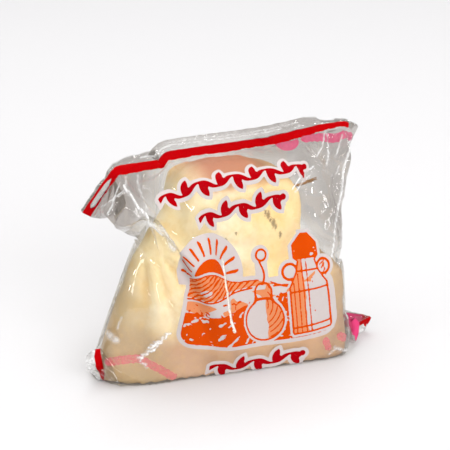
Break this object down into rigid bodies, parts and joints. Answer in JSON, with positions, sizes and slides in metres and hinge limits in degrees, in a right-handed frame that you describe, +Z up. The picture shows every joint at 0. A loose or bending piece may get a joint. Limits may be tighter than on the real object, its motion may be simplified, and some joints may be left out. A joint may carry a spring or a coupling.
{
  "type": "smoked provola in a film bag",
  "caption": "Smoked provola cheese sealed in a clear crinkled film bag with a printed front, standing on its base, with a top seal and seal ears at the foot.",
  "frame": {"origin": "on the surface the bag stands on, under the middle of the whole bag", "axes": "+X along the seals, to the right of someone facing the printed front; -Y out of the printed front; +Z up"},
  "size_m": [0.171, 0.0696, 0.1317],
  "materials": {
    "film": "clear glossy crinkled film"
  },
  "bodies": {
    "root": {"provola_bag": "film"}
  },
  "joints": []
}
